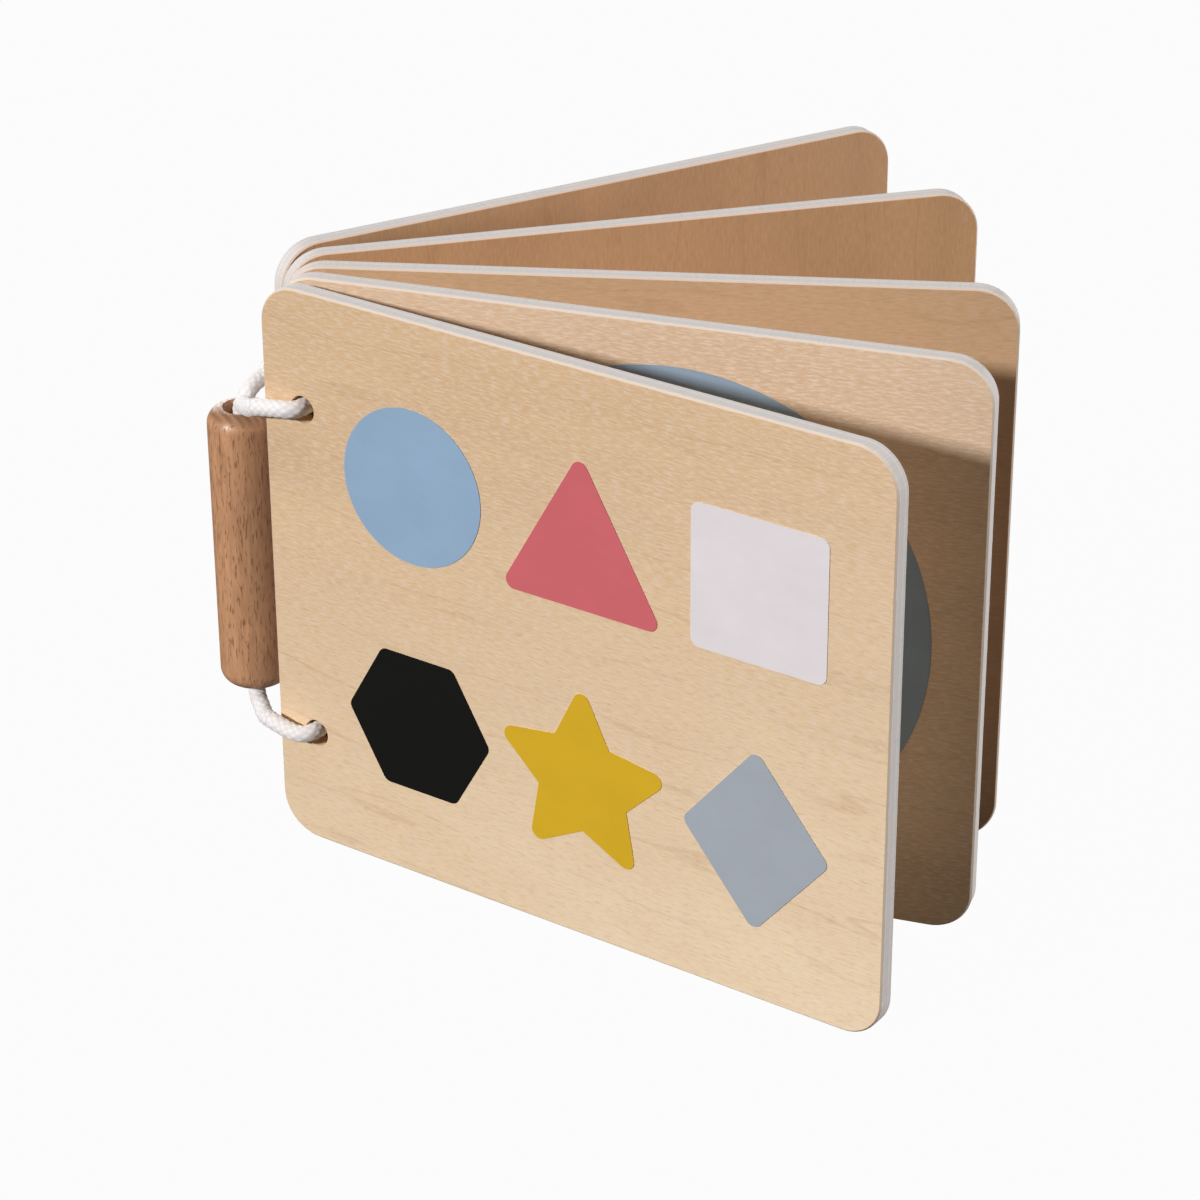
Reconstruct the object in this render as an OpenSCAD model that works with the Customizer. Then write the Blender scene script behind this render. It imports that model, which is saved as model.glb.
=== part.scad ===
// A toddler's book of five plywood boards, threaded on one loop of cord that also
// carries a turned dowel beside the spine. It stands open like a fan on the boards'
// bottom edges.
// The origin is the centre of the middle board's bottom edge. +X runs along that board
// towards its free edge, +Y towards the back cover and +Z up.

/* [Boards] */
// Width of each board, from its spine edge to its free edge
board_w = 150; // [120:1:200]
// Height of each board
board_h = 127; // [105:1:170]
// Thickness of the plywood
board_t = 4; // [3:0.5:6]
// Radius of the four corners of a board
corner_r = 9; // [4:0.5:14]
// Width of the eased arris round both faces of a board
edge_ease = 0.4; // [0.1:0.1:0.8]

/* [Cord holes] */
// Diameter of the cord holes through the boards
hole_d = 6; // [5:0.5:8]
// Distance from the spine edge to the centre of a hole
hole_inset = 10; // [8:0.5:14]
// Distance from the top or bottom edge to the centre of a hole
hole_end = 26; // [18:0.5:34]

/* [Fan] */
// Angle between the front cover and the first page
cover_angle = 16; // [0:0.5:30]
// Angle between the first page and the middle page
page_1_angle = 13; // [0:0.5:30]
// Angle between the middle page and the third page
page_3_angle = 20; // [0:0.5:30]
// Angle between the third page and the back cover
back_angle = 15.5; // [0:0.5:30]
// Running gap between neighbouring boards where their spine corners meet
spine_gap = 0.4; // [0.3:0.1:1]

/* [Spine dowel] */
// Diameter of the dowel
dowel_d = 15.5; // [14:0.5:20]
// Length of the dowel
dowel_len = 64; // [40:1:70]
// Radius of the rounding at both ends of the dowel
dowel_round = 3.5; // [1:0.25:3.5]
// Diameter of the dowel's bore, which takes two strands of cord
dowel_bore = 7.8; // [7.8:0.1:8.4]
// Depth of the countersink at both mouths of the bore
bore_sink = 0.5; // [0.2:0.1:1]
// Slack between the dowel and the spine edge of the middle page, for the leaves to turn
dowel_gap = 1.8; // [1.5:0.1:4]
// How far the dowel hangs below the middle of the spine
dowel_drop = 1; // [0:0.5:3]

/* [Cord] */
// Diameter of the braided cord
cord_d = 3.7; // [3:0.1:3.7]

/* [Printed shapes] */
// Thickness of the layer of ink
ink_t = 0.15; // [0.1:0.01:0.2]
// Clear strip of the cover along the spine edge
print_spine_margin = 17; // [15:0.5:25]
// Clear strip of the cover along the free edge
print_free_margin = 9; // [5:0.5:15]
// Clear strip of the cover along the top and bottom edges
print_end_margin = 9; // [5:0.5:15]
// Clear space between neighbouring shapes
print_gap = 7; // [4:0.5:12]
// Radius of the rounded corners of the shapes
print_round = 2; // [0.5:0.25:4]
// Clear strip of the first page above and below its disc
disc_end_margin = 9; // [6:0.5:15]
// Clear strip of the first page between the disc and the free edge
disc_free_margin = 10.5; // [6:0.5:15]

/* [Hidden] */

$fn = 64;
cut = 1;
cord_sides = 10;
cord_steps = 2;
cord_play = 0.25;
strand_play = 0.05;
ends_gap = 0.1;

wood_light = [0.87, 0.75, 0.59];
wood_brown = [0.80, 0.66, 0.50];
beech = [0.65, 0.47, 0.35];
cord_white = [0.90, 0.89, 0.88];
ink_white = [0.89, 0.86, 0.86];
ink_pink = [0.81, 0.39, 0.43];
ink_blue = [0.58, 0.68, 0.78];
ink_mustard = [0.84, 0.69, 0.12];
ink_black = [0.09, 0.09, 0.09];
ink_grey = [0.65, 0.69, 0.73];
ink_slate = [0.44, 0.52, 0.59];

// Directions along a board and through its thickness, seen in plan
function along(angle) = [cos(angle), sin(angle)];
function through(angle) = [-sin(angle), cos(angle)];

// Angle of each board to the middle one
page_1_turn = -page_1_angle;
cover_turn = page_1_turn - cover_angle;
page_3_turn = page_3_angle;
back_turn = page_3_turn + back_angle;

// Plan position of the front spine corner of each board. In front of the middle page, a
// board turns about its back spine corner, a running gap off the next board. Behind it,
// a board turns about its front spine corner, a running gap off the board before.
function in_front(next, next_turn, turn) =
    next - spine_gap * through(next_turn) - board_t * through(turn);
function behind(last, last_turn) = last + (board_t + spine_gap) * through(last_turn);
page_2_at = [-board_w / 2, -board_t / 2];
page_1_at = in_front(page_2_at, 0, page_1_turn);
cover_at = in_front(page_1_at, page_1_turn, cover_turn);
page_3_at = behind(page_2_at, 0);
back_at = behind(page_3_at, page_3_turn);

// Grid of the six shapes on the cover
cell_w = (board_w - print_spine_margin - print_free_margin) / 3;
cell_h = (board_h - 2 * print_end_margin) / 2;
shape_size = min(cell_w, cell_h) - print_gap;

// Disc on the first page
disc_r = board_h / 2 - disc_end_margin;
disc_x = board_w - disc_free_margin - disc_r;

// Place of the dowel's axis and of its lower end
dowel_x = -board_w / 2 - dowel_gap - dowel_d / 2;
dowel_z = board_h / 2 - dowel_drop - dowel_len / 2;

// Heights of the bore's two mouths and of the two rows of cord holes, lower one first
mouths_z = [dowel_z, dowel_z + dowel_len];
holes_z = [hole_end, board_h - hole_end];

// Distance from the spine edge to the cord in a hole, which it pulls towards the spine
cord_s = hole_inset - (hole_d - cord_d) / 2 + cord_play;
// Distance from the bore's axis to each of the two strands in it
strand_y = cord_d / 2 + strand_play;

// Bend of a strand as it leaves a mouth of the bore, in diameters of the cord from the
// middle of the mouth: towards the boards, sideways and out of the mouth
mouth_bend = [
    [0.09, 0.73, 0.4], [0.27, 1.22, 0.68], [0.57, 1.89, 0.84], [0.91, 2.57, 1.05]
];
// The same strand across the face of a cover, in diameters of the cord from its place in
// the hole: back to the spine, out of the face and towards the mouth's height
face_bend = [
    [2.46, 0.68, 0.27], [1.54, 0.7, 0.08], [0.78, 0.66, -0.03], [0.27, 0.46, -0.03]
];

// Point of a board in plan, s from its spine edge and m behind its front face
function on_board(at, turn, s, m) = at + s * along(turn) + m * through(turn);

function raised(p, z) = [p.x, p.y, z];

function reversed(p) = [for (i = [len(p) - 1 : -1 : 0]) p[i]];

// Strand from the middle of the bore to the hole of a cover. Side is -1 in front of the
// fan and 1 behind it, level is 0 below and 1 above.
function strand(side, level) =
    let (
        up = 2 * level - 1,
        mouth_z = mouths_z[level],
        hole_z = holes_z[level],
        at = side < 0 ? cover_at : back_at,
        turn = side < 0 ? cover_turn : back_turn,
        face = side < 0 ? 0 : board_t
    )
    concat(
        [for (depth = [dowel_len / 4, cord_d, 0.1 * cord_d])
            [dowel_x, side * strand_y, mouth_z - up * depth]],
        [for (p = mouth_bend * cord_d) [dowel_x + p.x, side * p.y, mouth_z + up * p.z]],
        [for (p = face_bend * cord_d)
            raised(on_board(at, turn, cord_s - p.x, face + side * p.y), hole_z - up * p.z)]
    );

// Where the cord enters and leaves the boards' holes, from the front cover to the back
function threaded(level) = [
    for (board = [
            [cover_at, cover_turn], [page_1_at, page_1_turn], [page_2_at, 0],
            [page_3_at, page_3_turn], [back_at, back_turn]
        ], m = [0, board_t])
        raised(on_board(board[0], board[1], cord_s, m), holes_z[level])
];

// Route of the cord, from inside the bore, up and over the front cover's spine edge,
// back through the upper holes, down through the bore, forward through the lower holes
// and up into the bore again, where its two ends meet
bore_middle = dowel_z + dowel_len / 2;
cord_route = concat(
    [[dowel_x, -strand_y, bore_middle + ends_gap]],
    strand(-1, 1), threaded(1), reversed(strand(1, 1)),
    [[dowel_x, strand_y, bore_middle]],
    strand(1, 0), reversed(threaded(0)), reversed(strand(-1, 0)),
    [[dowel_x, -strand_y, bore_middle - ends_gap]]
);

function unit(v) = v / norm(v);

// Point between route points b and c, on the smooth curve through a, b, c and d
function curve_point(a, b, c, d, u) =
    0.5 * (2 * b + u * (c - a) + u * u * (2 * a - 5 * b + 4 * c - d)
        + u * u * u * (3 * b - a - 3 * c + d));

function smooth_route(p, steps) =
    let (last = len(p) - 1)
    concat(
        [for (i = [0 : last - 1], k = [0 : steps - 1])
            curve_point(p[max(i - 1, 0)], p[i], p[i + 1], p[min(i + 2, last)], k / steps)],
        [p[last]]
    );

// Direction of a path at each of its points
function headings(p) =
    [for (i = [0 : len(p) - 1]) unit(p[min(i + 1, len(p) - 1)] - p[max(i - 1, 0)])];

// Side vector of each ring, carried along the path so that the tube doesn't twist
function sides(t) =
    [for (i = 0, s = [1, 0, 0]; i < len(t);
        i = i + 1, s = unit(s - (i < len(t) ? s * t[i] * t[i] : [0, 0, 0]))) s];

// Closed tube of diameter d along the points p
module tube(p, d, n) {
    t = headings(p);
    s = sides(t);
    rings = len(p);
    points = [
        for (i = [0 : rings - 1], k = [0 : n - 1])
            let (a = 360 * k / n, up = cross(t[i], s[i]))
            p[i] + d / 2 * (cos(a) * s[i] + sin(a) * up)
    ];
    walls = [
        for (i = [0 : rings - 2], k = [0 : n - 1])
            let (a = i * n + k, b = i * n + (k + 1) % n)
            [a, a + n, b + n, b]
    ];
    start = [for (k = [0 : n - 1]) k];
    end = [for (k = [n - 1 : -1 : 0]) (rings - 1) * n + k];
    polyhedron(points, concat(walls, [start, end]), convexity = 6);
}

// Moves a board's own drawing to its place in the fan. In that drawing X runs from the
// spine edge, Y through the thickness from the front face, and Z up.
module in_fan(at, turn) {
    translate([at.x, at.y, 0]) rotate([0, 0, turn]) children();
}

// Stands a drawing made flat on XY up on edge, with its underside as the front face
module on_edge() {
    mirror([0, 1, 0]) rotate([90, 0, 0]) children();
}

// Cross-section of a board that is w wide, with all four arrises eased
function eased(w) = [
    [edge_ease, 0], [w - edge_ease, 0], [w, edge_ease], [w, board_t - edge_ease],
    [w - edge_ease, board_t], [edge_ease, board_t], [0, board_t - edge_ease], [0, edge_ease]
];

module corner_post() {
    rotate_extrude() polygon([
        [0, 0], [corner_r - edge_ease, 0], [corner_r, edge_ease],
        [corner_r, board_t - edge_ease], [corner_r - edge_ease, board_t], [0, board_t]
    ]);
}

// One board with rounded corners and eased edges, lying flat on XY
module blank() {
    // slab between the left and right pairs of corners
    translate([corner_r, 0, 0]) rotate([90, 0, 90])
        linear_extrude(board_w - 2 * corner_r) polygon(eased(board_h));
    // slab between the upper and lower pairs of corners
    translate([0, board_h - corner_r, 0]) rotate([90, 0, 0])
        linear_extrude(board_h - 2 * corner_r) polygon(eased(board_w));
    for (x = [corner_r, board_w - corner_r], y = [corner_r, board_h - corner_r])
        translate([x, y, 0]) corner_post();
}

// A board with its two cord holes
module board() {
    on_edge() difference() {
        blank();
        for (y = [hole_end, board_h - hole_end])
            translate([hole_inset, y, -cut]) cylinder(d = hole_d, h = board_t + 2 * cut);
    }
}

module front_cover() {
    color(wood_light) in_fan(cover_at, cover_turn) board();
}

module page_1() {
    color(wood_light) in_fan(page_1_at, page_1_turn) board();
}

module page_2() {
    color(wood_light) in_fan(page_2_at, 0) board();
}

module page_3() {
    color(wood_brown) in_fan(page_3_at, page_3_turn) board();
}

module back_cover() {
    color(wood_brown) in_fan(back_at, back_turn) board();
}

// Turned dowel with rounded ends and a bore with countersunk mouths
module spine_dowel() {
    r = dowel_d / 2;
    ring_r = r - dowel_round;
    mouth_r = dowel_bore / 2 + bore_sink;
    color(beech) translate([dowel_x, 0, dowel_z]) difference() {
        union() {
            translate([0, 0, dowel_round]) cylinder(r = r, h = dowel_len - 2 * dowel_round);
            cylinder(r = ring_r, h = dowel_len);
            for (z = [dowel_round, dowel_len - dowel_round])
                translate([0, 0, z]) rotate_extrude()
                    translate([ring_r, 0]) circle(dowel_round);
        }
        translate([0, 0, -cut]) cylinder(d = dowel_bore, h = dowel_len + 2 * cut);
        translate([0, 0, -bore_sink])
            cylinder(r1 = mouth_r + bore_sink, r2 = mouth_r - bore_sink, h = 2 * bore_sink);
        translate([0, 0, dowel_len - bore_sink])
            cylinder(r1 = mouth_r - bore_sink, r2 = mouth_r + bore_sink, h = 2 * bore_sink);
    }
}

module binding_cord() {
    color(cord_white) tube(smooth_route(cord_route, cord_steps), cord_d, cord_sides);
}

// A flat shape of ink on the cover, in one cell of the grid of three columns and two rows
module cover_ink(column, row) {
    x = print_spine_margin + (column + 0.5) * cell_w;
    y = print_end_margin + (row + 0.5) * cell_h;
    in_fan(cover_at, cover_turn) on_edge() translate([x, y, -ink_t])
        linear_extrude(ink_t) children();
}

// Rounds the corners of a straight-sided outline from inside
module softened() {
    offset(r = print_round, $fn = 32) offset(delta = -print_round) children();
}

// Outline of a star with straight arms: tip and valley radii and number of tips
function star(tip_r, valley_r, tips) = [
    for (i = [0 : 2 * tips - 1])
        let (r = i % 2 == 0 ? tip_r : valley_r, a = 90 + 180 * i / tips)
        [r * cos(a), r * sin(a)]
];

// Outline of a regular polygon with a corner at the angle first
function regular(r, n, first) =
    [for (i = [0 : n - 1]) [r * cos(first + 360 * i / n), r * sin(first + 360 * i / n)]];

module print_circle() {
    color(ink_blue) cover_ink(0, 1) circle(d = shape_size);
}

module print_triangle() {
    // The centroid of the triangle lies below the middle of its height
    side_r = shape_size * 0.66;
    color(ink_pink) cover_ink(1, 1) translate([0, -shape_size * 0.12])
        softened() polygon(regular(side_r, 3, 90));
}

module print_square() {
    side = shape_size * 0.9;
    color(ink_white) cover_ink(2, 1) softened() square(side, center = true);
}

module print_hexagon() {
    color(ink_black) cover_ink(0, 0) softened() polygon(regular(shape_size * 0.53, 6, 0));
}

module print_star() {
    color(ink_mustard) cover_ink(1, 0)
        softened() polygon(star(shape_size * 0.66, shape_size * 0.33, 5));
}

module print_diamond() {
    half = shape_size / 2;
    color(ink_grey) cover_ink(2, 0)
        softened() polygon([[0, -half * 1.2], [half, 0], [0, half * 1.2], [-half, 0]]);
}

module print_disc() {
    color(ink_slate) in_fan(page_1_at, page_1_turn) on_edge()
        translate([disc_x, board_h / 2, -ink_t]) cylinder(r = disc_r, h = ink_t, $fn = 128);
}

front_cover();
page_1();
page_2();
page_3();
back_cover();
spine_dowel();
binding_cord();
print_circle();
print_triangle();
print_square();
print_hexagon();
print_star();
print_diamond();
print_disc();
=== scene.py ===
"""Wooden board book: five plywood boards threaded on a loop of braided cord with a dowel.

The frame brings the boards, the dowel and the printed shapes as solids. This script gives
them their wood and ink, makes the braided cord, and sets up the camera and the light.
"""

import math

import bmesh
import bpy
from mathutils import Euler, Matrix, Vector


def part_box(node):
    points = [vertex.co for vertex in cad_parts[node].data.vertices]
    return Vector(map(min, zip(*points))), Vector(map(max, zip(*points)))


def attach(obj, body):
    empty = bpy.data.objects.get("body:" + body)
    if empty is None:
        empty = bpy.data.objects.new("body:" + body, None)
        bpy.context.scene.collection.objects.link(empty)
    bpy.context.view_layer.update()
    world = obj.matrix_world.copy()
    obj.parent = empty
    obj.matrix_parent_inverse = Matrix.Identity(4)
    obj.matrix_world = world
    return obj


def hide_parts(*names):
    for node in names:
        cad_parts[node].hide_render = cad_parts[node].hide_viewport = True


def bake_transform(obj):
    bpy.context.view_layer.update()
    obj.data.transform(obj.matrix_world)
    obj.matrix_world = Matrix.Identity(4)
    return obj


bl_info = {
    "name": "Wooden board book",
    "version": (1, 0, 0),
    "blender": (4, 5, 0),
    "location": "View3D > Sidebar > Board Book",
    "description": "Dresses a book of plywood boards bound with a cord and a dowel",
    "category": "Object",
}

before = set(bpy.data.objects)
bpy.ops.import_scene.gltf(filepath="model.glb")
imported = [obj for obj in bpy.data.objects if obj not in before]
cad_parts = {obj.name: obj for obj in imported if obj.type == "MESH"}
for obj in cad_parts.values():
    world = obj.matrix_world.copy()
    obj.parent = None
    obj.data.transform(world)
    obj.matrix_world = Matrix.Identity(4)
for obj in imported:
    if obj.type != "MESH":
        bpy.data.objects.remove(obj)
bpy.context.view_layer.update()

MM = 0.001

# Boards: sizes come from the middle page, which stands square to the axes
PAGE_LOW, PAGE_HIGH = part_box("page_2")
BOARD_W = PAGE_HIGH.x - PAGE_LOW.x
BOARD_T = PAGE_HIGH.y - PAGE_LOW.y
BOARD_H = PAGE_HIGH.z - PAGE_LOW.z
SPINE_GAP = 0.4 * MM
COVER_ANGLE = math.radians(16)
PAGE_1_ANGLE = math.radians(13)
PAGE_3_ANGLE = math.radians(20)
BACK_ANGLE = math.radians(15.5)

# Cord holes, as in the boards' own drawing
HOLE_D = 6 * MM
HOLE_INSET = 10 * MM
HOLE_END = 26 * MM

# Dowel: its place and length come from the frame
DOWEL_LOW, DOWEL_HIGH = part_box("spine_dowel")
DOWEL_X = (DOWEL_LOW.x + DOWEL_HIGH.x) / 2
DOWEL_LEN = DOWEL_HIGH.z - DOWEL_LOW.z

# Cord
CORD_D = 3.7 * MM
CORD_PLAY = 0.25 * MM
STRAND_PLAY = 0.05 * MM
ENDS_GAP = 0.1 * MM


def paint(red, green, blue):
    """Linear colour of the display colour with these values from 0 to 255."""
    def linear(value):
        share = value / 255
        return share / 12.92 if share <= 0.04045 else ((share + 0.055) / 1.055) ** 2.4
    return (linear(red), linear(green), linear(blue), 1.0)


# The fan of boards

def along(turn):
    return Vector((math.cos(turn), math.sin(turn), 0))


def through(turn):
    return Vector((-math.sin(turn), math.cos(turn), 0))


def fan():
    """Place of each board's front spine corner, and its turn, from the front cover back."""
    page_1_turn = -PAGE_1_ANGLE
    cover_turn = page_1_turn - COVER_ANGLE
    page_3_turn = PAGE_3_ANGLE
    back_turn = page_3_turn + BACK_ANGLE
    page_2_at = Vector((-BOARD_W / 2, -BOARD_T / 2, 0))
    page_1_at = page_2_at - SPINE_GAP * through(0) - BOARD_T * through(page_1_turn)
    cover_at = page_1_at - SPINE_GAP * through(page_1_turn) - BOARD_T * through(cover_turn)
    page_3_at = page_2_at + (BOARD_T + SPINE_GAP) * through(0)
    back_at = page_3_at + (BOARD_T + SPINE_GAP) * through(page_3_turn)
    return {
        "front_cover": (cover_at, cover_turn),
        "page_1": (page_1_at, page_1_turn),
        "page_2": (page_2_at, 0.0),
        "page_3": (page_3_at, page_3_turn),
        "back_cover": (back_at, back_turn),
    }


BOARDS = fan()


# Settings

class BookWoodSettings(bpy.types.PropertyGroup):
    """Colours of the boards and the dowel."""
    cover: bpy.props.FloatVectorProperty(
        name="Front cover", description="Veneer of the front cover", subtype="COLOR",
        size=4, min=0, max=1, default=paint(219, 184, 144))
    page_1: bpy.props.FloatVectorProperty(
        name="First page", description="Veneer of the first page", subtype="COLOR",
        size=4, min=0, max=1, default=paint(217, 188, 158))
    page_2: bpy.props.FloatVectorProperty(
        name="Middle page", description="Veneer of the middle page", subtype="COLOR",
        size=4, min=0, max=1, default=paint(206, 168, 130))
    back: bpy.props.FloatVectorProperty(
        name="Back boards", description="Veneer of the third page and the back cover",
        subtype="COLOR", size=4, min=0, max=1, default=paint(204, 158, 115))
    edge: bpy.props.FloatVectorProperty(
        name="Edges", description="Cut edges of the plies", subtype="COLOR",
        size=4, min=0, max=1, default=paint(224, 217, 213))
    dowel: bpy.props.FloatVectorProperty(
        name="Dowel", description="Turned beech", subtype="COLOR",
        size=4, min=0, max=1, default=paint(201, 149, 110))


class BookInkSettings(bpy.types.PropertyGroup):
    """Colours of the printed shapes."""
    blue: bpy.props.FloatVectorProperty(
        name="Blue", description="Ink of the circle", subtype="COLOR",
        size=4, min=0, max=1, default=paint(147, 173, 200))
    pink: bpy.props.FloatVectorProperty(
        name="Pink", description="Ink of the triangle", subtype="COLOR",
        size=4, min=0, max=1, default=paint(207, 104, 110))
    white: bpy.props.FloatVectorProperty(
        name="White", description="Ink of the square", subtype="COLOR",
        size=4, min=0, max=1, default=paint(228, 220, 222))
    black: bpy.props.FloatVectorProperty(
        name="Black", description="Ink of the hexagon", subtype="COLOR",
        size=4, min=0, max=1, default=paint(17, 17, 15))
    mustard: bpy.props.FloatVectorProperty(
        name="Mustard", description="Ink of the star", subtype="COLOR",
        size=4, min=0, max=1, default=paint(214, 172, 38))
    grey: bpy.props.FloatVectorProperty(
        name="Grey", description="Ink of the diamond", subtype="COLOR",
        size=4, min=0, max=1, default=paint(167, 173, 181))
    slate: bpy.props.FloatVectorProperty(
        name="Slate", description="Ink of the disc on the first page", subtype="COLOR",
        size=4, min=0, max=1, default=paint(140, 160, 180))


class BookCordSettings(bpy.types.PropertyGroup):
    """Make of the braided cord."""
    colour: bpy.props.FloatVectorProperty(
        name="Cotton", description="Colour of the cotton", subtype="COLOR",
        size=4, min=0, max=1, default=paint(243, 238, 237))
    strands: bpy.props.IntProperty(
        name="Strands", description="Strands that wind each way round the cord",
        default=6, min=4, max=16)
    pitch: bpy.props.FloatProperty(
        name="Pitch", description="Length of cord in which a strand winds round once",
        default=11 * MM, min=6 * MM, max=25 * MM, unit="LENGTH")
    relief: bpy.props.FloatProperty(
        name="Relief", description="Height of the strands over the valleys between them",
        default=0.14 * MM, min=0, max=0.4 * MM, unit="LENGTH")


class BookStageSettings(bpy.types.PropertyGroup):
    """Camera and light."""
    lens: bpy.props.FloatProperty(
        name="Lens", description="Focal length on a sensor 36 mm wide, in millimetres",
        default=111.01, min=20, max=300)
    azimuth: bpy.props.FloatProperty(
        name="Azimuth", description="Turn of the camera round the book, to the right",
        default=math.radians(6.043), subtype="ANGLE")
    elevation: bpy.props.FloatProperty(
        name="Elevation", description="Height of the camera over the horizon",
        default=math.radians(26.982), subtype="ANGLE")
    roll: bpy.props.FloatProperty(
        name="Roll", description="Turn of the camera about its line of sight",
        default=math.radians(0.316), subtype="ANGLE")
    distance: bpy.props.FloatProperty(
        name="Distance", description="From the camera to the point that it looks at",
        default=0.7753, min=0.2, max=5, unit="LENGTH")
    target: bpy.props.FloatVectorProperty(
        name="Target", description="Point that the camera looks at",
        default=(-0.00964, -0.00515, 0.05543), subtype="TRANSLATION", unit="LENGTH")
    key_level: bpy.props.FloatProperty(
        name="Key light", description="Share of full light from the lamp at the left",
        default=0.98, min=0, max=3)
    top_level: bpy.props.FloatProperty(
        name="Top light", description="Share of full light from the lamp overhead",
        default=0.28, min=0, max=3)
    side_level: bpy.props.FloatProperty(
        name="Side light", description="Share of full light from the lamp at the right",
        default=0.78, min=0, max=3)
    back_level: bpy.props.FloatProperty(
        name="Back light", description="Share of full light from the lamp behind",
        default=0.45, min=0, max=3)
    sky_level: bpy.props.FloatProperty(
        name="Room light", description="Share of full light from all round",
        default=0.025, min=0, max=3)


# Shader helpers

def fill(tree, sockets, values):
    """Sets or links each of these sockets to its value."""
    for socket, value in zip(sockets, values):
        if isinstance(value, bpy.types.NodeSocket):
            tree.links.new(value, socket)
        else:
            socket.default_value = value


def add(tree, kind, sockets=None, **settings):
    """New node of this kind, with its settings, and its sockets set or linked by name."""
    node = tree.nodes.new(kind)
    for name, value in settings.items():
        setattr(node, name, value)
    sockets = sockets or {}
    fill(tree, [node.inputs[name] for name in sockets], sockets.values())
    return node


def blend_colours(tree, factor, first, second):
    node = add(tree, "ShaderNodeMix", data_type="RGBA")
    fill(tree, (node.inputs[0], node.inputs[6], node.inputs[7]), (factor, first, second))
    return node.outputs[2]


def calculate(tree, operation, first, second=0.0):
    node = add(tree, "ShaderNodeMath", operation=operation)
    fill(tree, node.inputs, (first, second))
    return node.outputs[0]


def spread(tree, value, low, high, start=0.0, end=1.0):
    """Maps a value from low..high to start..end, and holds it within them."""
    return add(tree, "ShaderNodeMapRange", {
        "Value": value, "From Min": low, "From Max": high,
        "To Min": start, "To Max": end}).outputs[0]


def steps(tree, factor, stops):
    """Colour ramp with these (position, colour) stops."""
    node = add(tree, "ShaderNodeValToRGB", {"Fac": factor})
    elements = node.color_ramp.elements
    while len(elements) < len(stops):
        elements.new(1.0)
    for element, (position, colour) in zip(elements, stops):
        element.position = position
        element.color = colour
    return node.outputs[0]


def noise(tree, vector, stretch, detail, roughness, distortion=0.0, offset=0.0):
    """Noise with stretch waves to the metre in each direction."""
    placed = add(tree, "ShaderNodeMapping", {
        "Vector": vector, "Scale": stretch, "Location": (offset, offset, offset)})
    return add(tree, "ShaderNodeTexNoise", {
        "Vector": placed.outputs[0], "Scale": 1.0, "Detail": detail,
        "Roughness": roughness, "Distortion": distortion}).outputs[0]


def emptied(holder):
    """Node tree of a new material or world, with nothing in it."""
    holder.use_nodes = True
    holder.node_tree.nodes.clear()
    return holder.node_tree


def new_material(name, roughness=0.5):
    material = bpy.data.materials.new(name)
    tree = emptied(material)
    shader = add(tree, "ShaderNodeBsdfPrincipled", {"Roughness": roughness})
    add(tree, "ShaderNodeOutputMaterial", {0: shader.outputs[0]})
    return material, tree, shader


def tinted(colour, share):
    """A colour with its brightness multiplied by share."""
    return (*(min(1.0, c * share) for c in colour[:3]), 1.0)


def shaded(colour, shares):
    """A colour with its red, green and blue multiplied by shares."""
    return (*(c * share for c, share in zip(colour, shares)), 1.0)


def between(first, second, share):
    """The colour that lies this share of the way from the first to the second."""
    return (*((1 - share) * a + share * b for a, b in zip(first[:3], second)), 1.0)


def marked(tree, tone, mark, colour):
    """A tone with a noise's marks on it. Mark holds the noise, from where to where in it
    the colour comes in, and how far."""
    marks, low, high, strength = mark
    return blend_colours(tree, spread(tree, marks, low, high, 0, strength), tone, colour)


def coordinates(tree, at, turn=0.0):
    """Object coordinates measured from a place, along axes turned about Z."""
    source = add(tree, "ShaderNodeTexCoord")
    return add(tree, "ShaderNodeMapping", {
        "Vector": source.outputs["Object"], "Location": tuple(at),
        "Rotation": (0, 0, turn)}, vector_type="TEXTURE").outputs[0]


def bumped(tree, shader, height, distance, strength):
    bump = add(tree, "ShaderNodeBump", {
        "Height": height, "Distance": distance, "Strength": strength})
    tree.links.new(bump.outputs[0], shader.inputs["Normal"])


# Materials

# Marks of the veneer: length, width, detail, roughness, distortion and seed of each
VENEER_MARKS = {
    "broad": (190 * MM, 22 * MM, 3, 0.55, 0.6, 0),
    "patches": (38 * MM, 18 * MM, 2, 0.5, 0.3, 7),
    "fibre": (6 * MM, 0.5 * MM, 3, 0.65, 0, 3),
    "pores": (2.4 * MM, 0.42 * MM, 2, 0.6, 0, 11),
    "flecks": (2.4 * MM, 0.4 * MM, 2, 0.6, 0, 5),
}
# How much of the veneer's red, green and blue its dark marks keep
VENEER_SHADE = (0.72, 0.64, 0.54)
# Tone of the painted sheen that pales a face towards its lower free corner
PAINTED_SHEEN = paint(255, 231, 196)
SILVER = (0.93, 0.86, 0.80)
# Growth lines: their slant to the grain, and how much the pattern is drawn out along it
GROWTH_SLANT = math.radians(-7)
GROWTH_SQUEEZE = 0.12

# Layers across a board's thickness, as shares of it, and how bright each is
PLY_TINTS = [
    (0.0, 1.0), (0.24, 1.0), (0.26, 0.70), (0.28, 0.94), (0.49, 0.94), (0.51, 0.70),
    (0.53, 1.0), (0.74, 1.0), (0.76, 0.70), (0.78, 0.94), (1.0, 1.0)]
# How far under a face the veneer gives way to the arris, and the arris to the plies
ARRIS_FROM, ARRIS_TO = 0.02 * MM, 0.08 * MM
CORE_FROM, CORE_TO = 0.3 * MM, 0.5 * MM

# The same shares for the dowel's dark marks, and where the middle of its growth rings lies
# from its axis
BEECH_SHADE = (0.42, 0.36, 0.33)
PITH = Vector((16 * MM, 10 * MM, 0))

SOIL = paint(214, 204, 192)


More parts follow.
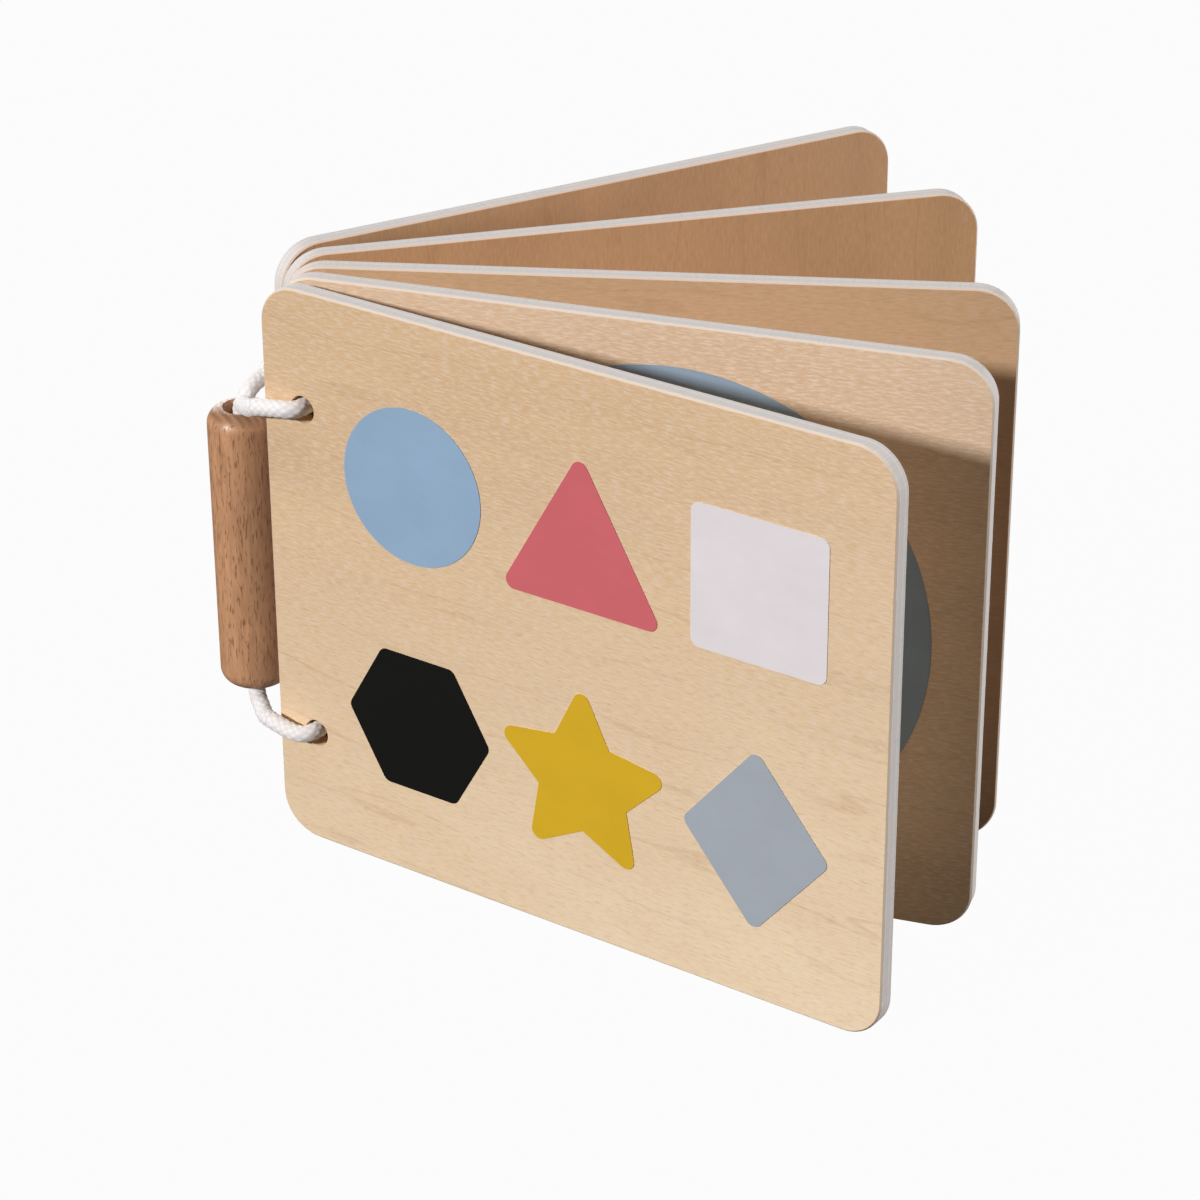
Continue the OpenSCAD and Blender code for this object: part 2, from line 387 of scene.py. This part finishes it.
def veneer(tree, place, colour, upright, silver, sheen_paint, seed):
    """Colour and height of a sanded birch face. Upright turns the grain to vertical,
    silver is the strength of the pale flecks, and the argument after silver that of a
    painted sheen, a paler tone towards the lower free corner."""
    def run(length, width):
        return (1 / width, 0, 1 / length) if upright else (1 / length, 0, 1 / width)

    marks = {
        name: noise(tree, place, run(length, width), *kind, seed + own_seed)
        for name, (length, width, *kind, own_seed) in VENEER_MARKS.items()}
    dark = shaded(colour, VENEER_SHADE)
    tone = blend_colours(
        tree, spread(tree, marks["broad"], 0.3, 0.7), tinted(colour, 0.89),
        tinted(colour, 1.05))
    # painted sheen: the face grows paler towards its lower free corner
    corner = add(tree, "ShaderNodeVectorMath", {
        0: place, 1: (0.6 / BOARD_W, 0, -1.4 / BOARD_H)}, operation="DOT_PRODUCT").outputs[1]
    tone = blend_colours(tree, spread(tree, corner, -1.0, 0.5, 0, sheen_paint), tone, PAINTED_SHEEN)
    tone = blend_colours(
        tree, spread(tree, marks["patches"], 0.4, 0.7, 0, 0.3), tone, tinted(colour, 1.1))
    tone = marked(tree, tone, (marks["fibre"], 0.45, 0.75, 0.2), dark)
    tone = marked(tree, tone, (marks["pores"], 0.5, 0.7, 0.3), dark)

    # a few thin growth lines, at a small slant to the grain, that come and go
    squeeze = (1, 0, GROWTH_SQUEEZE) if upright else (GROWTH_SQUEEZE, 0, 1)
    slant = add(tree, "ShaderNodeMapping", {
        "Vector": place, "Rotation": (0, GROWTH_SLANT, 0), "Location": (seed, 0, seed),
        "Scale": squeeze})
    arches = add(tree, "ShaderNodeTexWave", {
        "Vector": slant.outputs[0], "Scale": 24.0, "Distortion": 3.0, "Detail": 1.0,
        "Detail Scale": 11.0, "Detail Roughness": 0.2}, wave_type="BANDS",
        bands_direction="X" if upright else "Z").outputs[1]
    seen = spread(tree, marks["patches"], 0.35, 0.6, 0.1, 1.0)
    lines = calculate(tree, "MULTIPLY", spread(tree, arches, 0.97, 1.0, 0, 0.26), seen)
    tone = blend_colours(tree, lines, tone, dark)

    tone = marked(
        tree, tone, (marks["flecks"], 0.47, 0.62, silver), between(colour, SILVER, 0.55))
    raised = calculate(tree, "MULTIPLY", marks["fibre"], 0.6)
    return tone, calculate(tree, "ADD", raised, marks["flecks"])


def hole_distance(tree, place, hole_z):
    """Distance of a point of a board from the middle line of one of its cord holes."""
    off = add(tree, "ShaderNodeVectorMath", {
        0: place, 1: (HOLE_INSET, 0, hole_z)}, operation="SUBTRACT").outputs[0]
    flat = add(tree, "ShaderNodeVectorMath", {
        0: off, 1: (1, 0, 1)}, operation="MULTIPLY").outputs[0]
    return add(tree, "ShaderNodeVectorMath", {0: flat}, operation="LENGTH").outputs[1]


def plywood(name, board, colour, edge, silver, seed, upright=False, sheen_paint=0.0):
    """Board with veneered faces, eased arrises and the plies showing at its edges."""
    material, tree, shader = new_material(name)
    place = coordinates(tree, *BOARDS[board])
    face, height = veneer(tree, place, colour, upright, silver, sheen_paint, seed)

    # plies: thin glue lines between layers whose tone hardly differs, and the walls of
    # the holes in the face's colour, made a fifth brighter as painted light
    depth = add(tree, "ShaderNodeSeparateXYZ", {"Vector": place}).outputs[1]
    plies = steps(tree, calculate(tree, "DIVIDE", depth, BOARD_T), [
        (position, tinted(edge, tint)) for position, tint in PLY_TINTS])
    saw_marks = noise(tree, place, (2600, 180, 2600), 2, 0.6, 0, seed)
    plies = marked(tree, plies, (saw_marks, 0.45, 0.75, 0.5), tinted(edge, 0.8))
    # painted light inside the holes: their walls in the face's colour made a fifth brighter
    for hole_z in HOLES_Z:
        bored = spread(
            tree, hole_distance(tree, place, hole_z), 0.6 * HOLE_D, 0.55 * HOLE_D)
        plies = blend_colours(tree, bored, plies, tinted(colour, 1.2))

    # how far a point lies under the nearer face
    middle = calculate(tree, "ABSOLUTE", calculate(tree, "SUBTRACT", depth, BOARD_T / 2))
    under = calculate(tree, "SUBTRACT", BOARD_T / 2, middle)
    arris = between(colour, tinted(edge, 1.05), 0.5)
    shown = blend_colours(tree, spread(tree, under, ARRIS_FROM, ARRIS_TO), face, arris)
    shown = blend_colours(tree, spread(tree, under, CORE_FROM, CORE_TO), shown, plies)
    tree.links.new(shown, shader.inputs["Base Color"])
    tree.links.new(
        spread(tree, under, ARRIS_FROM, ARRIS_TO, 0.5, 0.8), shader.inputs["Roughness"])
    bumped(tree, shader, height, 0.06 * MM, 0.5)
    return material


def turned_beech(name, colour):
    """Dowel: short dark flecks down its side, and rings and rays on its ends."""
    material, tree, shader = new_material(name, 0.42)
    foot = Vector((DOWEL_X, 0, DOWEL_LOW.z))
    place = coordinates(tree, foot)
    grain = noise(tree, place, (300, 300, 60), 3, 0.6, 1.5, 2.0)
    flecks = noise(tree, place, (2500, 2500, 380), 2, 0.55, 0, 5.0)
    fibre = noise(tree, place, (3200, 3200, 60), 3, 0.7, 0, 9.0)
    dark = shaded(colour, BEECH_SHADE)
    tone = blend_colours(
        tree, spread(tree, grain, 0.3, 0.7), tinted(colour, 0.78), tinted(colour, 1.14))
    tone = marked(tree, tone, (fibre, 0.5, 0.8, 0.4), dark)
    tone = marked(tree, tone, (flecks, 0.55, 0.66, 0.68), dark)

    # the end grain shows arcs of growth rings, crossed by rays
    rings = add(tree, "ShaderNodeTexWave", {
        "Vector": coordinates(tree, foot + PITH), "Scale": 210.0, "Distortion": 0.8,
        "Detail": 2.0, "Detail Scale": 0.7}, wave_type="RINGS",
        rings_direction="Z").outputs[1]
    pores = noise(tree, place, (2600, 2600, 400), 2, 0.6, 0, 1.0)
    ends = blend_colours(tree, rings, tinted(colour, 0.45), tinted(colour, 0.72))
    ends = marked(tree, ends, (pores, 0.55, 0.7, 0.7), dark)
    normal = add(tree, "ShaderNodeTexCoord").outputs["Normal"]
    upward = add(tree, "ShaderNodeSeparateXYZ", {"Vector": normal}).outputs[2]
    tone = blend_colours(
        tree, spread(tree, calculate(tree, "ABSOLUTE", upward), 0.35, 0.8), tone, ends)
    tree.links.new(tone, shader.inputs["Base Color"])
    shader.inputs["Coat Weight"].default_value = 0.12
    shader.inputs["Coat Roughness"].default_value = 0.3
    hollows = calculate(tree, "SUBTRACT", 1.0, spread(tree, flecks, 0.6, 0.7))
    bumped(tree, shader, hollows, 0.12 * MM, 0.6)
    return material


def print_ink(name, colour, board):
    """Matt ink that lets a little of the grain under it show."""
    material, tree, shader = new_material(name, 0.58)
    shader.inputs["Specular IOR Level"].default_value = 0.15
    place = coordinates(tree, *BOARDS[board])
    cloud = noise(tree, place, (60, 60, 90), 3, 0.6)
    grain = noise(tree, place, (85, 0, 1500), 3, 0.65, 0, 3.0)
    tone = blend_colours(
        tree, spread(tree, cloud, 0.3, 0.7), tinted(colour, 0.965), tinted(colour, 1.035))
    tone = marked(tree, tone, (grain, 0.55, 0.85, 0.12), tinted(colour, 0.72))
    tree.links.new(tone, shader.inputs["Base Color"])
    bumped(tree, shader, grain, 0.04 * MM, 0.4)
    return material


def braided_cotton(name, colour):
    """Cotton whose fibres and small shadows follow the cord."""
    material, tree, shader = new_material(name, 0.9)
    laid = add(tree, "ShaderNodeUVMap", uv_map="around").outputs[0]
    fuzz = noise(tree, laid, (1300, 18, 1), 3, 0.7)
    soil = noise(tree, laid, (160, 4, 1), 2, 0.5, 0, 4.0)
    height = add(tree, "ShaderNodeAttribute", attribute_name="strand_height").outputs["Fac"]
    # painted shade: the cotton is darker where the braid is low, between the strands
    tone = blend_colours(
        tree, spread(tree, height, 0.0, 0.5), tinted(colour, 0.88), tinted(colour, 1.02))
    tone = marked(tree, tone, (fuzz, 0.45, 0.75, 0.35), tinted(colour, 0.8))
    tone = marked(tree, tone, (soil, 0.5, 0.9, 0.2), SOIL)
    tree.links.new(tone, shader.inputs["Base Color"])
    shader.inputs["Sheen Weight"].default_value = 0.35
    shader.inputs["Sheen Roughness"].default_value = 0.6
    bumped(tree, shader, fuzz, 0.12 * MM, 0.8)
    return material


# The cord

# Bend of a strand as it leaves a mouth of the bore, in diameters of the cord from the
# middle of the mouth: towards the boards, sideways and out of the mouth
MOUTH_BEND = [(0.09, 0.73, 0.4), (0.27, 1.22, 0.68), (0.57, 1.89, 0.84), (0.91, 2.57, 1.05)]
# The same strand across the face of a cover, in diameters of the cord from its place in
# the hole: back to the spine, out of the face and towards the mouth's height
FACE_BEND = [(2.46, 0.68, 0.27), (1.54, 0.7, 0.08), (0.78, 0.66, -0.03), (0.27, 0.46, -0.03)]

# A strand lies before or behind the dowel's axis, at its lower or upper mouth
FRONT, BEHIND = -1, 1
BELOW, ABOVE = 0, 1
MOUTHS_Z = (DOWEL_LOW.z, DOWEL_HIGH.z)
HOLES_Z = (HOLE_END, BOARD_H - HOLE_END)
CORD_S = HOLE_INSET - (HOLE_D - CORD_D) / 2 + CORD_PLAY
STRAND_Y = CORD_D / 2 + STRAND_PLAY


def on_board(board, s, m, z):
    """Point of a board: s from its spine edge, m behind its front face, z up."""
    at, turn = BOARDS[board]
    return at + s * along(turn) + m * through(turn) + Vector((0, 0, z))


def strand(side, level):
    """Points of the cord from the middle of the bore to the hole of a cover."""
    up = 2 * level - 1
    mouth_z, hole_z = MOUTHS_Z[level], HOLES_Z[level]
    board, face = ("front_cover", 0.0) if side == FRONT else ("back_cover", BOARD_T)
    points = [
        Vector((DOWEL_X, side * STRAND_Y, mouth_z - up * depth))
        for depth in (DOWEL_LEN / 4, CORD_D, 0.1 * CORD_D)]
    points += [
        Vector((DOWEL_X + x * CORD_D, side * y * CORD_D, mouth_z + up * z * CORD_D))
        for x, y, z in MOUTH_BEND]
    points += [
        on_board(board, CORD_S - s * CORD_D, face + side * m * CORD_D,
                 hole_z - up * z * CORD_D)
        for s, m, z in FACE_BEND]
    return points


def threaded(level):
    """Where the cord enters and leaves the boards' holes, from the front cover back."""
    return [
        on_board(board, CORD_S, m, HOLES_Z[level]) for board in BOARDS for m in (0, BOARD_T)]


def cord_route():
    middle = DOWEL_LOW.z + DOWEL_LEN / 2
    return (
        [Vector((DOWEL_X, -STRAND_Y, middle + ENDS_GAP))]
        + strand(FRONT, ABOVE) + threaded(ABOVE) + strand(BEHIND, ABOVE)[::-1]
        + [Vector((DOWEL_X, STRAND_Y, middle))]
        + strand(BEHIND, BELOW) + threaded(BELOW)[::-1] + strand(FRONT, BELOW)[::-1]
        + [Vector((DOWEL_X, -STRAND_Y, middle - ENDS_GAP))])


def curve_point(a, b, c, d, u):
    """Point between route points b and c, on the smooth curve through a, b, c and d."""
    return 0.5 * (2 * b + u * (c - a) + u * u * (2 * a - 5 * b + 4 * c - d)
                  + u * u * u * (3 * b - a - 3 * c + d))


class Centreline:
    """The cord's route as evenly spaced rings, each with two vectors across it."""
    STEP = 0.25 * MM
    SPLITS = 24

    def __init__(self, route):
        last = len(route) - 1
        fine = []
        for i in range(last):
            near = (route[max(i - 1, 0)], route[i], route[i + 1], route[min(i + 2, last)])
            fine += [curve_point(*near, k / self.SPLITS) for k in range(self.SPLITS)]
        fine.append(route[last])
        self.travel = [0.0]
        for a, b in zip(fine, fine[1:]):
            self.travel.append(self.travel[-1] + (b - a).length)
        self.length = self.travel[-1]
        self.count = round(self.length / self.STEP)
        self.points = []
        j = 0
        for i in range(self.count + 1):
            goal = min(i * self.length / self.count, self.length)
            while j < len(fine) - 2 and self.travel[j + 1] < goal:
                j += 1
            part = (goal - self.travel[j]) / (self.travel[j + 1] - self.travel[j])
            self.points.append(fine[j].lerp(fine[j + 1], part))
        self.frames = []
        across = Vector((1, 0, 0))
        for i in range(self.count + 1):
            ahead = self.points[min(i + 1, self.count)] - self.points[max(i - 1, 0)]
            ahead.normalize()
            across = (across - across.dot(ahead) * ahead).normalized()
            self.frames.append((across.copy(), ahead.cross(across)))

    def ring(self, place):
        """Number of the ring at a place in the route, counted in its points."""
        return round(self.travel[round(place * self.SPLITS)] / self.length * self.count)

    def at(self, place):
        return self.points[self.ring(place)]


def strand_height(turns, run, strands, pitch):
    """Height of the braid, from 0 to 1, at turns round the cord and run along it."""
    rising = strands * (turns + run / pitch)
    falling = strands * (turns - run / pitch)
    return abs(math.sin(math.pi * rising) * math.sin(math.pi * falling))


# Facets round the cord for each strand, and the height of the braid at which the cord has
# its own radius
SIDES_PER_STRAND = 8
NOMINAL_HEIGHT = 0.75


def braided_tube(name, line, first, last, look):
    """Mesh of the cord from one ring of its centreline to another: a grid rolled up."""
    sides = SIDES_PER_STRAND * look.strands
    mesh = bpy.data.meshes.new(name)
    bm = bmesh.new()
    around = bm.loops.layers.uv.new("around")
    height = bm.verts.layers.float.new("strand_height")
    bmesh.ops.create_grid(bm, x_segments=last - first, y_segments=sides, size=0.5)
    for face in bm.faces:
        for loop in face.loops:
            ring = first + (loop.vert.co.x + 0.5) * (last - first)
            loop[around].uv = (ring * line.length / line.count, loop.vert.co.y + 0.5)
    for vert in bm.verts:
        ring = first + round((vert.co.x + 0.5) * (last - first))
        turns = vert.co.y + 0.5
        rise = strand_height(
            turns, ring * line.length / line.count, look.strands, look.pitch)
        radius = CORD_D / 2 + (rise - NOMINAL_HEIGHT) * look.relief
        across, up = line.frames[ring]
        angle = 2 * math.pi * turns
        vert.co = line.points[ring] + radius * (
            math.cos(angle) * across + math.sin(angle) * up)
        vert[height] = rise
    bmesh.ops.remove_doubles(bm, verts=bm.verts, dist=0.001 * MM)
    rims = [edge for edge in bm.edges if edge.is_boundary]
    bmesh.ops.holes_fill(bm, edges=rims)
    bmesh.ops.recalc_face_normals(bm, faces=bm.faces)
    for face in bm.faces:
        face.smooth = len(face.verts) == 4
    bm.to_mesh(mesh)
    bm.free()
    piece = bpy.data.objects.new(name, mesh)
    bpy.context.collection.objects.link(piece)
    return piece


# Stretches of the cord: name, where each starts and ends in the route, the bodies at
# its two ends, and the two places in the route between which it bends
CORD_STRETCHES = [
    ("cord_bore_front_top", 0, 3, "page_2", None, None, None),
    ("cord_front_top_bend", 3, 8, "page_2", "page_1", 4, 8),
    ("cord_front_top_face", 8, 12.5, "page_1", "front_cover", 8, 11),
    ("cord_top_cover_to_page_1", 12.5, 14.5, "front_cover", "page_1", 13, 14),
    ("cord_top_page_1_to_2", 14.5, 16.5, "page_1", "page_2", 15, 16),
    ("cord_top_page_2_to_3", 16.5, 18.5, "page_2", "page_3", 17, 18),
    ("cord_top_page_3_to_back", 18.5, 20.5, "page_3", "back_cover", 19, 20),
    ("cord_back_top_face", 20.5, 27, "back_cover", "page_3", 24, 27),
    ("cord_back_top_bend", 27, 30, "page_3", "page_2", 27, 29.5),
    ("cord_bore_back", 30, 36, "page_2", None, None, None),
    ("cord_back_low_bend", 36, 39, "page_2", "page_3", 36.5, 39),
    ("cord_back_low_face", 39, 45.5, "page_3", "back_cover", 39, 42),
    ("cord_low_back_to_page_3", 45.5, 47.5, "back_cover", "page_3", 46, 47),
    ("cord_low_page_3_to_2", 47.5, 49.5, "page_3", "page_2", 48, 49),
    ("cord_low_page_2_to_1", 49.5, 51.5, "page_2", "page_1", 50, 51),
    ("cord_low_page_1_to_cover", 51.5, 53.5, "page_1", "front_cover", 52, 53),
    ("cord_front_low_face", 53.5, 58, "front_cover", "page_1", 55, 58),
    ("cord_front_low_bend", 58, 63, "page_1", "page_2", 58, 62),
    ("cord_bore_front_low", 63, 66, "page_2", None, None, None),
]


class BOOK_OT_make_cord(bpy.types.Operator):
    """Make the braided cord, in stretches"""
    bl_idname = "book.make_cord"
    bl_label = "Cord"

    def execute(self, context):
        look = context.scene.book_cord
        cotton = braided_cotton("braided cotton", look.colour)
        line = Centreline(cord_route())
        for name, start, end, body, other, bend_from, bend_to in CORD_STRETCHES:
            piece = braided_tube(name, line, line.ring(start), line.ring(end), look)
            piece.data.materials.append(cotton)
            if other:
                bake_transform(piece)
            else:
                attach(piece, body)
            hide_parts("binding_cord")
        return {"FINISHED"}


# Boards, dowel and ink

def dress(node, material):
    """Gives a solid of the frame its material, in place of the plain one."""
    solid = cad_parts[node]
    solid.data.materials.clear()
    solid.data.materials.append(material)


class BOOK_OT_dress_boards(bpy.types.Operator):
    """Give the five boards their veneer and the plies at their edges"""
    bl_idname = "book.dress_boards"
    bl_label = "Boards"

    def execute(self, context):
        wood = context.scene.book_wood
        # the front cover gets a painted sheen, paler towards its lower free corner
        dress("front_cover", plywood(
            "cover plywood", "front_cover", wood.cover, wood.edge, silver=0.42, seed=1.0,
            sheen_paint=0.85))
        dress("page_1", plywood(
            "first page plywood", "page_1", wood.page_1, wood.edge, silver=0.5, seed=11.0))
        dress("page_2", plywood(
            "middle page plywood", "page_2", wood.page_2, wood.edge, silver=0.15, seed=23.0))
        for board, seed in (("page_3", 31.0), ("back_cover", 43.0)):
            dress(board, plywood(
                board + " plywood", board, wood.back, wood.edge, silver=0.1, seed=seed,
                upright=True))
        return {"FINISHED"}


class BOOK_OT_dress_dowel(bpy.types.Operator):
    """Give the dowel its turned beech"""
    bl_idname = "book.dress_dowel"
    bl_label = "Dowel"

    def execute(self, context):
        dress("spine_dowel", turned_beech("turned beech", context.scene.book_wood.dowel))
        return {"FINISHED"}


class BOOK_OT_dress_prints(bpy.types.Operator):
    """Give the printed shapes their ink"""
    bl_idname = "book.dress_prints"
    bl_label = "Printed shapes"

    def execute(self, context):
        ink = context.scene.book_ink
        for node, colour in (
                ("print_circle", "blue"), ("print_triangle", "pink"),
                ("print_square", "white"), ("print_hexagon", "black"),
                ("print_star", "mustard"), ("print_diamond", "grey")):
            dress(node, print_ink(colour + " ink", getattr(ink, colour), "front_cover"))
        dress("print_disc", print_ink("slate ink", ink.slate, "page_1"))
        return {"FINISHED"}


# Camera and stage

def facing(azimuth, elevation):
    """Unit vector from the book towards a viewer or lamp, where azimuth 0 is in front."""
    return Vector((
        math.sin(azimuth) * math.cos(elevation),
        -math.cos(azimuth) * math.cos(elevation),
        math.sin(elevation)))


class BOOK_OT_place_camera(bpy.types.Operator):
    """Place the camera at the photograph's viewing angle"""
    bl_idname = "book.place_camera"
    bl_label = "Camera"

    def execute(self, context):
        stage = context.scene.book_stage
        data = bpy.data.cameras.new("camera")
        data.sensor_width = 36
        data.lens = stage.lens
        data.clip_start = 0.01
        camera = bpy.data.objects.new("camera", data)
        back = facing(stage.azimuth, stage.elevation)
        camera.rotation_mode = "QUATERNION"
        camera.location = Vector(stage.target) + stage.distance * back
        look = (-back).to_track_quat("-Z", "Y")
        camera.rotation_quaternion = look @ Euler((0, 0, -stage.roll)).to_quaternion()
        context.collection.objects.link(camera)
        context.scene.camera = camera
        return {"FINISHED"}


# Lamps: name, which setting holds its level, azimuth and elevation in degrees, distance
# from the book and side length
LAMPS = [
    ("key lamp", "key_level", -46, 24, 4.0, 0.32),
    ("top lamp", "top_level", -20, 85, 2.0, 1.2),
    ("side lamp", "side_level", 96, 12, 2.0, 0.6),
    ("back lamp", "back_level", 200, 10, 2.0, 1.0),
]
FLOOR_REACH = 4.0
# The floor shows white to the camera, but for a trace of shadow, and throws little light up
FLOOR_GREY = 0.08
FLOOR_WHITE = 0.97


def lamp(name, level, azimuth, elevation, distance, size):
    """Square lamp aimed at the book. Level 1 shows a facing surface in its own colour."""
    data = bpy.data.lights.new(name, "AREA")
    data.size = size
    data.energy = level * (math.pi * distance) ** 2
    light = bpy.data.objects.new(name, data)
    direction = facing(math.radians(azimuth), math.radians(elevation))
    light.rotation_mode = "QUATERNION"
    light.location = Vector((0, 0, BOARD_H / 2)) + distance * direction
    light.rotation_quaternion = (-direction).to_track_quat("-Z", "Y")
    bpy.context.collection.objects.link(light)


def camera_ray(tree):
    """1 where the camera sees a surface itself, 0 where it only lights others."""
    return add(tree, "ShaderNodeLightPath").outputs["Is Camera Ray"]


def white_room(level):
    """World that lights by level and shows white to the camera."""
    world = bpy.data.worlds.new("white room")
    tree = emptied(world)
    strength = spread(tree, camera_ray(tree), 0, 1, level, 1.0)
    room = add(tree, "ShaderNodeBackground", {"Color": (1, 1, 1, 1), "Strength": strength})
    add(tree, "ShaderNodeOutputWorld", {0: room.outputs[0]})
    return world


def pale_floor():
    material = bpy.data.materials.new("pale floor")
    tree = emptied(material)
    matt = add(tree, "ShaderNodeBsdfDiffuse", {"Color": (FLOOR_GREY,) * 3 + (1,)})
    glow = add(tree, "ShaderNodeEmission", {"Color": (1, 1, 1, 1), "Strength": 1.0})
    both = add(tree, "ShaderNodeMixShader", {
        0: calculate(tree, "MULTIPLY", camera_ray(tree), FLOOR_WHITE),
        1: matt.outputs[0], 2: glow.outputs[0]})
    add(tree, "ShaderNodeOutputMaterial", {0: both.outputs[0]})
    return material


class BOOK_OT_make_stage(bpy.types.Operator):
    """Make the pale floor, the room's light and the lamps"""
    bl_idname = "book.make_stage"
    bl_label = "Stage"

    def execute(self, context):
        stage = context.scene.book_stage
        context.scene.view_settings.view_transform = "Standard"
        context.scene.world = white_room(stage.sky_level)

        mesh = bpy.data.meshes.new("floor")
        bm = bmesh.new()
        bmesh.ops.create_grid(bm, x_segments=1, y_segments=1, size=FLOOR_REACH)
        bm.to_mesh(mesh)
        bm.free()
        mesh.materials.append(pale_floor())
        floor = bpy.data.objects.new("floor", mesh)
        context.collection.objects.link(floor)

        for name, setting, *place in LAMPS:
            lamp(name, getattr(stage, setting), *place)
        return {"FINISHED"}


# Panel and main

class BOOK_PT_panel(bpy.types.Panel):
    """Lists what makes the book and its settings"""
    bl_idname = "BOOK_PT_panel"
    bl_label = "Board Book"
    bl_space_type = "VIEW_3D"
    bl_region_type = "UI"
    bl_category = "Board Book"

    def draw(self, context):
        scene = context.scene
        for settings in (scene.book_wood, scene.book_ink, scene.book_cord, scene.book_stage):
            box = self.layout.box()
            for name in settings.__annotations__:
                box.prop(settings, name)
        for operator in OPERATORS:
            self.layout.operator(operator.bl_idname)


SETTINGS = {
    "book_wood": BookWoodSettings,
    "book_ink": BookInkSettings,
    "book_cord": BookCordSettings,
    "book_stage": BookStageSettings,
}
OPERATORS = (
    BOOK_OT_place_camera,
    BOOK_OT_make_cord,
    BOOK_OT_dress_boards,
    BOOK_OT_dress_dowel,
    BOOK_OT_dress_prints,
    BOOK_OT_make_stage,
)
CLASSES = (*SETTINGS.values(), *OPERATORS, BOOK_PT_panel)


def register():
    for cls in CLASSES:
        bpy.utils.register_class(cls)
    for name, settings in SETTINGS.items():
        setattr(bpy.types.Scene, name, bpy.props.PointerProperty(type=settings))


def unregister():
    for name in SETTINGS:
        delattr(bpy.types.Scene, name)
    for cls in reversed(CLASSES):
        bpy.utils.unregister_class(cls)


def main():
    register()
    bpy.ops.book.place_camera()
    bpy.ops.book.make_cord()
    bpy.ops.book.dress_boards()
    bpy.ops.book.dress_dowel()
    bpy.ops.book.dress_prints()
    bpy.ops.book.make_stage()
    bpy.context.view_layer.update()


if __name__ == "__main__":
    main()
